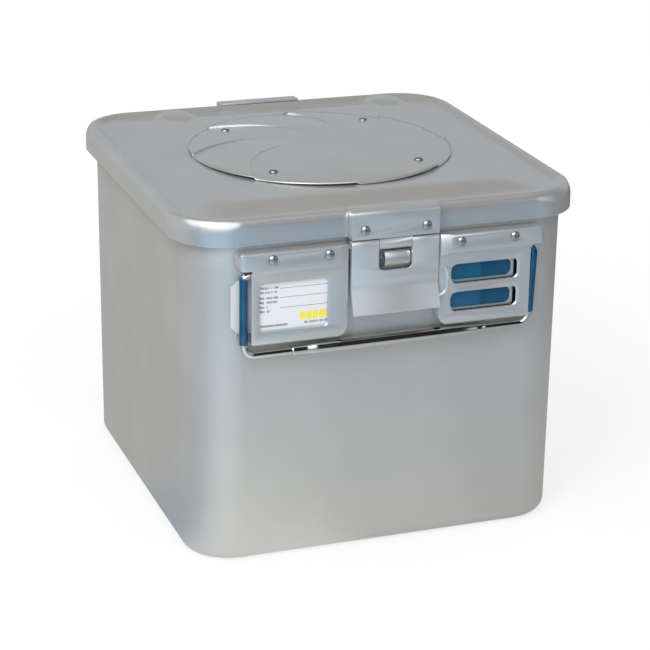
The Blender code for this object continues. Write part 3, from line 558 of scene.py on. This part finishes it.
def refined(node, bevel, reshape=None, tools=()):
    # a CAD node's own form: flat triangles joined, sharp edges rounded by the bevel, and the tools cut in
    shape = bmesh.new()
    shape.from_mesh(frame["nodes"][node].data)
    bmesh.ops.remove_doubles(shape, verts=shape.verts, dist=0.00001)
    bmesh.ops.dissolve_limit(shape, angle_limit=math.radians(1), verts=shape.verts, edges=shape.edges)
    if reshape:
        reshape(shape)
    if bevel:
        sharp = [edge for edge in shape.edges
                 if len(edge.link_faces) == 2 and edge.calc_face_angle() > math.radians(35)]
        bmesh.ops.bevel(shape, geom=sharp, offset=bevel, segments=2, profile=0.6,
                        affect="EDGES", clamp_overlap=True)
    if tools:
        shape = carved(shape, tools)
    return meshFrom(node, shape, 40)


sides = (("front", False), ("back", True))

# tub, whose rim is given as inset and drop

tub = {
    "width": 0.2800, "depth": 0.2876, "corner": 0.036, "wall": 0.002, "rim": 0.2430,
    "floorRound": 0.008, "floorInset": 0.045, "draft": 0.0008,
    "rimRound": ((0.0, 0.0008), (0.0003, 0.0002), (0.0010, 0.0), (0.0017, 0.0002), (0.0020, 0.0008)),
}


def buildTub():
    draft, wall, floorRound = tub["draft"], tub["wall"], tub["floorRound"]
    section = [(draft + tub["floorInset"], 0.0)]
    for outward, height in arc(0, 0, floorRound, -90, 0, 10):
        section.append((draft + floorRound - outward, floorRound + height))
    section += [(draft * (1 - share), tub["rim"] * share) for share in (0.2, 0.4, 0.6, 0.8)]
    section += [(inset, tub["rim"] - drop) for inset, drop in tub["rimRound"]]
    inside = floorRound - wall
    for outward, height in reversed(arc(0, 0, inside, -90, 0, 8)):
        section.append((draft + wall + inside - outward, floorRound + height))
    section.append((draft + tub["floorInset"], wall))
    rings = []
    for inset, height in section:
        ring = roundedRing(tub["width"] - 2 * inset, tub["depth"] - 2 * inset, tub["corner"] - inset,
                           cornerSteps=20, edgeSteps=6)
        rings.append([(*point, height) for point in ring])
    mesh = meshFrom("tubShell", loft(rings, True, True), 60)
    putPiece("tubShell", mesh, "tub", ["tub"])


buildTub()

# lid. Insets are measured from its outside, and the two lugs are stamped bumps near the back edge.

lid = {
    "width": 0.2966, "depth": 0.2950, "corner": 0.040, "wall": 0.0015,
    "top": 0.2515, "bottom": 0.2335, "skirtRings": (0.0, 0.0005, 0.006),
    "rimRound": 0.0055, "rimFall": 0.0055, "cornerFall": 0.0100, "cornerBlend": 0.012,
    "valleyInset": 0.013, "valley": 0.2487,
    "crownInset": 0.046, "crown": 0.2528, "crownCorner": 0.020, "riseCurve": 0.95,
    "crownRings": (0.050, 0.055, 0.060, 0.070, 0.090),
    "lugX": 0.011, "lugSpacing": 0.172, "lugY": 0.120, "lugHalf": (0.0205, 0.0255),
    "lugTop": 0.0036, "lugCurve": 1.1, "lugFoot": 2.0,
}


def withLug(x, y, height):
    # the lid's height raised to the two lugs, with a soft foot
    for side in (-1, 1):
        away = math.hypot((x - lid["lugX"] - side * lid["lugSpacing"] / 2) / lid["lugHalf"][0],
                          (y - lid["lugY"]) / lid["lugHalf"][1])
        dome = lid["top"] + lid["lugTop"] * (1 - lid["lugCurve"] * away * away)
        if away < 1 and dome > height:
            height += (dome - height) * smoothShare((1 - away) * lid["lugFoot"])
    return height


def rimFall(x, y):
    # the rim's rounding starts lower down around the corners
    past = min(abs(x) - lid["width"] / 2 + lid["corner"], abs(y) - lid["depth"] / 2 + lid["corner"])
    return lid["rimFall"] + (lid["cornerFall"] - lid["rimFall"]) * smoothShare(past / lid["cornerBlend"])


def buildLid():
    # levels from the skirt's foot to the crown, as inset, height and share of the rim's fall
    fallSteps, riseSteps = 6, 14
    start, fall = lid["rimRound"], lid["top"] - lid["valley"]
    slope, rise = lid["crownInset"] - lid["valleyInset"], lid["crown"] - lid["valley"]
    levels = [(0.0, lid["bottom"] + up, 0) for up in lid["skirtRings"]]
    levels += [((inward + 1) * lid["rimRound"], lid["top"], 1 - height)
               for inward, height in arc(0, 0, 1, 180, 90, 12)]
    for share in [step / fallSteps for step in range(1, fallSteps + 1)]:
        levels.append((start + (lid["valleyInset"] - start) * share, lid["top"] - fall * smoothShare(share), 0))
    for share in [step / riseSteps for step in range(1, riseSteps + 1)]:
        up = rise * smoothShare(share) ** lid["riseCurve"]
        levels.append((lid["valleyInset"] + slope * share, lid["valley"] + up, 0))
    levels += [(inset, lid["crown"], 0) for inset in lid["crownRings"]]
    rings = []
    for inset, height, drop in levels:
        ring = roundedRing(lid["width"] - 2 * inset, lid["depth"] - 2 * inset,
                           max(lid["corner"] - inset, lid["crownCorner"]), cornerSteps=16, edgeSteps=72)
        rings.append([(*point, withLug(*point, height - drop * rimFall(*point))) for point in ring])
    mesh = meshFrom("lidShell", loft(rings, capLast=True), 60)
    piece = putPiece("lidShell", mesh, "lid", ["lid_shell"])
    wall = piece.modifiers.new("wall", "SOLIDIFY")
    wall.thickness, wall.offset, wall.use_even_offset = lid["wall"], -1, True


buildLid()

# steam cover. Each vane rises to its crest, at that share of its width, and drops steeply to the next.

cover = {
    "radius": 0.0963, "sheet": 0.0008, "dome": 0.0040, "seat": 0.2531,
    "hub": 0.024, "vanes": 8, "start": -2.0, "sweep": 45, "lift": 0.0015, "crest": 0.98,
    "crestShares": (0.91, 0.94, 0.96, 0.972, 0.98, 0.99),
}


def vaneAngle(radius, vane, share):
    crease = -cover["sweep"] * (cover["radius"] - radius) / (cover["radius"] - cover["hub"])
    return math.radians(cover["start"] + crease + 360 * (vane + share) / cover["vanes"])


def coverHeight(radius, share):
    outward = max(0, (radius - cover["hub"]) / (cover["radius"] - cover["hub"]))
    lift = min(share / cover["crest"], (1 - share) / (1 - cover["crest"]))
    dome = cover["dome"] * (1 - (radius / cover["radius"]) ** 2)
    return cover["seat"] + dome + cover["lift"] * lift * outward


def buildCover():
    shares = [step / 16 for step in range(15)] + list(cover["crestShares"])
    rings, ringSteps = [], 24
    for step in range(ringSteps + 1):
        radius = cover["radius"] - (cover["radius"] - cover["hub"]) * step / ringSteps
        ring = []
        for vane in range(cover["vanes"]):
            for share in shares:
                angle, height = vaneAngle(radius, vane, share), coverHeight(radius, share) + cover["sheet"]
                ring.append((radius * math.cos(angle), radius * math.sin(angle), height))
        rings.append(ring)
    mesh = meshFrom("steamCover", loft(rings, capLast=True), 28)
    piece = putPiece("steamCover", mesh, "lid", ["steam_cover"])
    sheet = piece.modifiers.new("sheet", "SOLIDIFY")
    sheet.thickness, sheet.offset = cover["sheet"], -1


buildCover()
print("tub, lid and cover made")

# rivets, domed outside and spread inside

rivet = {
    "head": 0.0033, "rise": 0.0016, "coverRise": 0.0013, "shank": 0.0019, "point": 0.00005,
    "tail": 0.0028, "tailEnd": 0.0027, "tailHeight": 0.0011,
    "dome": ((0.0, 1.0), (0.30, 0.97), (0.58, 0.84), (0.80, 0.62), (0.94, 0.34), (1.0, 0.10), (1.0, 0.0)),
}


def buildRivets():
    for node in sorted(frame["nodes"]):
        if "rivet" not in node:
            continue
        low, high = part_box(node)
        middle = (low + high) / 2
        onBack = node.startswith("back")
        if "cover" in node:
            length, rise = high.z - low.z, rivet["coverRise"]
            place = Matrix.Translation((middle.x, middle.y, high.z))
        else:
            length, rise = high.y - low.y, rivet["rise"]
            turn = Matrix.Rotation(math.pi / 2 * (-1 if onBack else 1), 4, "X")
            place = Matrix.Translation((middle.x, high.y if onBack else low.y, middle.z)) @ turn
        profile = [(max(across * rivet["head"], rivet["point"]), -rise + up * rise)
                   for across, up in rivet["dome"]]
        profile += [(rivet["shank"], -rise), (rivet["shank"], rivet["tailHeight"] - length),
                    (rivet["tail"], rivet["tailHeight"] - length), (rivet["tailEnd"], -length),
                    (rivet["point"], -length)]
        mesh = meshFrom(node, turned(profile, 20, place), 40)
        putPiece(node.replace("_", "-") + "-domed", mesh, "rivet", [node])


buildRivets()
print("rivets made")

# plates, levers, keepers and frames keep their CAD form: bevel, look and slot

fittings = {
    "lid_plate": (0.0004, "plate", "bright_aluminium"), "latch_lever": (0.0003, "lever", "bright_aluminium"),
    "keeper": (0.0003, "keeper", "stainless_steel"), "label_frame": (0.0004, "plate", "anodised_aluminium"),
    "slotted_frame": (0.0004, "plate", "anodised_aluminium"), "indicator_plate": (0.0002, "blue", "blue_plastic"),
    "label_card": (0, "card", "label_card"), "hinge_pin": (0.0002, "rivet", "stainless_steel"),
}

# what is cut into the front plates. Boxes are left, right, low and high, and a reach is two distances in front of
# the container's middle plane.

pressing = {
    "panel": 0.1530, "cutAhead": 0.001, "cutClear": 0.00002,
    "slotX": (0.0425, 0.0914), "slotBottoms": (0.1752, 0.1956), "slotHeight": 0.0119, "slotCorner": 0.0032,
    "openBelow": 0.0016, "openAbove": 0.0004,
    "flareRight": 0.0032, "flareBelow": 0.0006, "flareElse": 0.0003, "flareDepth": 0.0013, "flareCorner": 0.0055,
    "sideRight": 0.0016, "sideBelow": 0.0002, "sideReach": (0.1520, 0.1494),
    "lipX": (0.0429, 0.0888), "lipBelow": 0.0004, "lipAbove": -0.0004, "lipCorner": 0.0045,
    "gapX": 0.0908, "gapRight": 0.0020, "gapBelow": 0.0004, "gapAbove": 0.0002, "gapCorner": 0.0013,
    "lipReach": (0.1500, 0.1470),
    "recess": (0.0150, 0.0402, 0.1860, 0.2085), "recessSlope": 0.0016, "recessDepth": 0.0009,
    "recessCorners": (0.0070, 0.0054),
    "corner": (0.0405, -0.1560, 0.2276), "cornerFacing": (-0.33, -0.76, 0.56), "cornerHalf": 0.012,
    "cornerLength": 0.010,
    "window": (-0.0966, -0.0476, 0.1740, 0.2075), "windowFlare": 0.0008, "windowDepth": 0.0010,
    "windowCorners": (0.0040, 0.0030),
    "groove": (-0.01199, 0.01199, 0.2320, 0.23276), "grooveCorner": 0.0001, "grooveReach": (0.1560, 0.1536),
}


def outline(x0, x1, z0, z1, corner, distance):
    ring = roundedRing(x1 - x0, z1 - z0, corner, cornerSteps=6, edgeSteps=2)
    return [(point.x + (x0 + x1) / 2, -distance, point.y + (z0 + z1) / 2) for point in ring]


def dish(wide, narrow, corners, depth):
    # a tool with sloping sides, from just in front of the panel down to its depth
    out = pressing["panel"] + pressing["cutClear"]
    rings = [outline(*wide, corners[0], out + pressing["cutAhead"])]
    for share in (0.0, 0.12, 0.35, 0.65, 0.88, 1.0):
        box = [first + (second - first) * share for first, second in zip(wide, narrow)]
        corner = corners[0] + (corners[1] - corners[0]) * share
        rings.append(outline(*box, corner, out - depth * smoothShare(share)))
    return loft(rings, True, True)


def block(box, corner, reach):
    return loft([outline(*box, corner, distance) for distance in reach], True, True)


def slotTools(bottom):
    # the panel's opening with its flare, the sides behind it, the lip's own opening, and the gap right of the lip
    x0, x1 = pressing["slotX"]
    low, top = bottom - pressing["openBelow"], bottom + pressing["slotHeight"]
    high, spare = top + pressing["openAbove"], pressing["flareElse"]
    wide = (x0 - spare, x1 + pressing["flareRight"], low - pressing["flareBelow"], high + spare)
    sidesBox = (x0, x1 + pressing["sideRight"], low - pressing["sideBelow"], top)
    lipBox = (*pressing["lipX"], bottom - pressing["lipBelow"], top + pressing["lipAbove"])
    gapBox = (pressing["gapX"], x1 + pressing["gapRight"], low - pressing["gapBelow"], top + pressing["gapAbove"])
    return [
        dish(wide, (x0, x1, low, high), (pressing["flareCorner"], pressing["slotCorner"]), pressing["flareDepth"]),
        block(sidesBox, pressing["slotCorner"], pressing["sideReach"]),
        block(lipBox, pressing["lipCorner"], pressing["lipReach"]),
        block(gapBox, pressing["gapCorner"], pressing["lipReach"]),
    ]


def cornerTool():
    # takes off the ledge's upper inner corner on a slant
    facing = Vector(pressing["cornerFacing"]).normalized()
    aside = facing.cross(Vector((0, 0, 1))).normalized() * pressing["cornerHalf"]
    across = facing.cross(aside)
    start = Vector(pressing["corner"])
    ring = [start + aside + across, start - aside + across, start - aside - across, start + aside - across]
    return loft([ring, [point + facing * pressing["cornerLength"] for point in ring]], True, True)


def slottedTools():
    tools = [tool for bottom in pressing["slotBottoms"] for tool in slotTools(bottom)]
    wide, slope = pressing["recess"], pressing["recessSlope"]
    narrow = (wide[0] + slope, wide[1] - slope, wide[2] + slope, wide[3] - slope)
    return tools + [dish(wide, narrow, pressing["recessCorners"], pressing["recessDepth"]), cornerTool()]


def windowTools():
    narrow, flare = pressing["window"], pressing["windowFlare"]
    wide = (narrow[0] - flare, narrow[1] + flare, narrow[2] - flare, narrow[3] + flare)
    return [dish(wide, narrow, pressing["windowCorners"], pressing["windowDepth"])]


def tongueTools():
    return [block(pressing["groove"], pressing["grooveCorner"], pressing["grooveReach"])]


# the lever's hinge roll, and the distances in front of the middle plane between which its grooves' floors lie

lever = {
    "hingeY": -0.1510, "hingeZ": 0.2276, "hingeRadius": 0.0040, "rollClear": 0.0002,
    "rollFrom": 0.9, "rollPast": 0.98,
    "grooveFloor": (0.15455, 0.15465), "grooveRaised": 0.15494,
}


def squareLever(shape):
    # the lever's rolled top made squarer, and its grooves shallower
    radius, clear = lever["hingeRadius"], lever["rollClear"]
    near, far = lever["grooveFloor"]
    for vert in shape.verts:
        out, up = lever["hingeY"] - vert.co.y, vert.co.z - lever["hingeZ"]
        if out > clear and up > clear:
            away, square = math.hypot(out, up), radius / (out ** 4 + up ** 4) ** 0.25
            if square * away > radius * lever["rollPast"] and away > radius * lever["rollFrom"]:
                vert.co.y, vert.co.z = lever["hingeY"] - out * square, lever["hingeZ"] + up * square
        elif up < 0 and near < -vert.co.y < far:
            vert.co.y = -lever["grooveRaised"]


reshapes = {"latch_lever": squareLever}
toolMakers = {"slotted_frame": slottedTools, "label_frame": windowTools, "lid_plate": tongueTools}


def buildFittings():
    for kind, (bevel, material, slot) in fittings.items():
        tools = toolMakers[kind]() if kind in toolMakers else ()
        mesh = refined("front_" + kind, bevel, reshapes.get(kind), tools)
        mesh.materials.clear()
        for side, onBack in sides:
            name = f"{side}-{kind}-finished".replace("_", "-")
            putPiece(name, mesh, material, [f"{side}_{kind}"], onBack)


buildFittings()
print("fittings made")

# handles. The grip is x and radius in millimetres, and a sleeve's turn is how far it runs on into the top bend,
# in degrees.

handle = {
    "rod": 0.0027, "out": 0.1483, "axis": 0.2135, "halfSpan": 0.1062, "bar": 0.1578, "tip": 0.0940,
    "topBend": 0.0045, "lowBend": 0.0080, "lean": 0.0017, "squeeze": 0.0018, "clear": 0.0002,
    "grip": ((-72.0, 3.30), (-71.8, 3.42), (-71.2, 3.46), (-69.5, 3.50), (-66, 3.53), (-62, 3.60), (-60, 3.72),
             (-58, 3.95), (-56, 4.16), (-53, 4.32), (-30, 4.45), (0, 4.50), (30, 4.45), (50, 4.35), (56, 4.2),
             (60, 4.0), (64, 3.75), (67, 3.55), (69, 3.62), (70, 3.5), (71.4, 3.45), (72.0, 3.25)),
    "sleeve": 0.00300, "sleeveTips": (0.00291, 0.00296), "sleeveSpan": (0.1660, 0.2090),
    "sleeveTurns": {"left": 35, "right": 75},
}


def tubeAlong(points, radii, steps, hollow=0):
    # a round tube on a path in the plane of the front, with an inner skin where hollow is set
    rings = []
    for index, (x, z) in enumerate(points):
        before, after = Vector(points[max(index - 1, 0)]), Vector(points[min(index + 1, len(points) - 1)])
        onward = (after - before).normalized()
        side = Vector((onward.y, 0, -onward.x))
        rings.append([Vector((x, -handle["out"], z)) + radii[index] * (
            math.cos(2 * math.pi * step / steps) * side + Vector((0, math.sin(2 * math.pi * step / steps), 0)))
            for step in range(steps)])
    if not hollow:
        return loft(rings, capFirst=True, capLast=True)
    centres = [Vector((x, -handle["out"], z)) for x, z in points]
    inner = [[centre + (point - centre) * hollow / radius for point in ring]
             for centre, ring, radius in zip(centres, rings, radii)]
    return loft(rings + inner[::-1], closed=True)


def leaned(points):
    # the handle hangs a little lower at its left end, and its right arm is bent a little inward
    fall, span = handle["axis"] - handle["bar"], 2 * handle["halfSpan"]
    placed = []
    for x, z in points:
        share = (handle["axis"] - z) / fall
        inward = handle["squeeze"] * share * max(0, 2 * x / span)
        placed.append((x - inward, z - handle["lean"] * share * (0.5 - x / span)))
    return placed


def rodPath():
    half, topBend, lowBend = handle["halfSpan"], handle["topBend"], handle["lowBend"]
    path = [(-handle["tip"], handle["axis"])]
    path += arc(-half + topBend, handle["axis"] - topBend, topBend, 90, 180, 8)
    path += arc(-half + lowBend, handle["bar"] + lowBend, lowBend, 180, 270, 12)
    return leaned(path + [(-x, z) for x, z in reversed(path)])


def sleeveMesh(way, turn):
    # way is -1 for the left arm and 1 for the right
    half, bend, (low, high) = handle["halfSpan"], handle["topBend"], handle["sleeveSpan"]
    end, shoulder = handle["sleeveTips"]
    path = [(-half, z) for z in (low, low + 0.0008, low + 0.0030, (low + high) / 2, high - 0.0010)]
    path += arc(-half + bend, high, bend, 180, 180 - turn, 6)
    radii = [end, shoulder] + [handle["sleeve"]] * (len(path) - 4) + [shoulder, end]
    path = leaned([(-way * x, z) for x, z in path])
    return meshFrom("armSleeve", tubeAlong(path, radii, 20, handle["rod"] + handle["clear"]), 40)


def buildHandles():
    rod = rodPath()
    rodMesh = meshFrom("handleRod", tubeAlong(rod, [handle["rod"]] * len(rod), 20), 50)
    gripPath = leaned([(x / 1000, handle["bar"]) for x, radius in handle["grip"]])
    gripRadii = [radius / 1000 for x, radius in handle["grip"]]
    gripMesh = meshFrom("handleGrip", tubeAlong(gripPath, gripRadii, 24, handle["rod"] + handle["clear"]), 40)
    for side, onBack in sides:
        putPiece(side + "-handle-rod", rodMesh, "chrome", [side + "_bail"], onBack)
        putPiece(side + "-handle-grip", gripMesh, "chrome", [side + "_bail_grip"], onBack)
        for word, way in (("left", -1), ("right", 1)):
            mesh = sleeveMesh(way, handle["sleeveTurns"][word])
            node = f"{side}_bail_sleeve_{word}"
            putPiece(f"{side}-arm-sleeve-{word}", mesh, "sleeve", [node], onBack)


buildHandles()
print("handles made")

# inner pieces keep their CAD form too: bevel, look and slot

inner = {
    "lid_seal": (0.0008, "seal", "silicone"), "filter_sheet": (0, "paper", "filter_paper"),
    "filter_retainer": (0.0003, "lid", "anodised_aluminium"),
}


def buildInner():
    for node, (bevel, material, slot) in inner.items():
        mesh = refined(node, bevel)
        mesh.materials.clear()
        putPiece(node.replace("_", "-") + "-finished", mesh, material, [node])


buildInner()
print("inner pieces made")
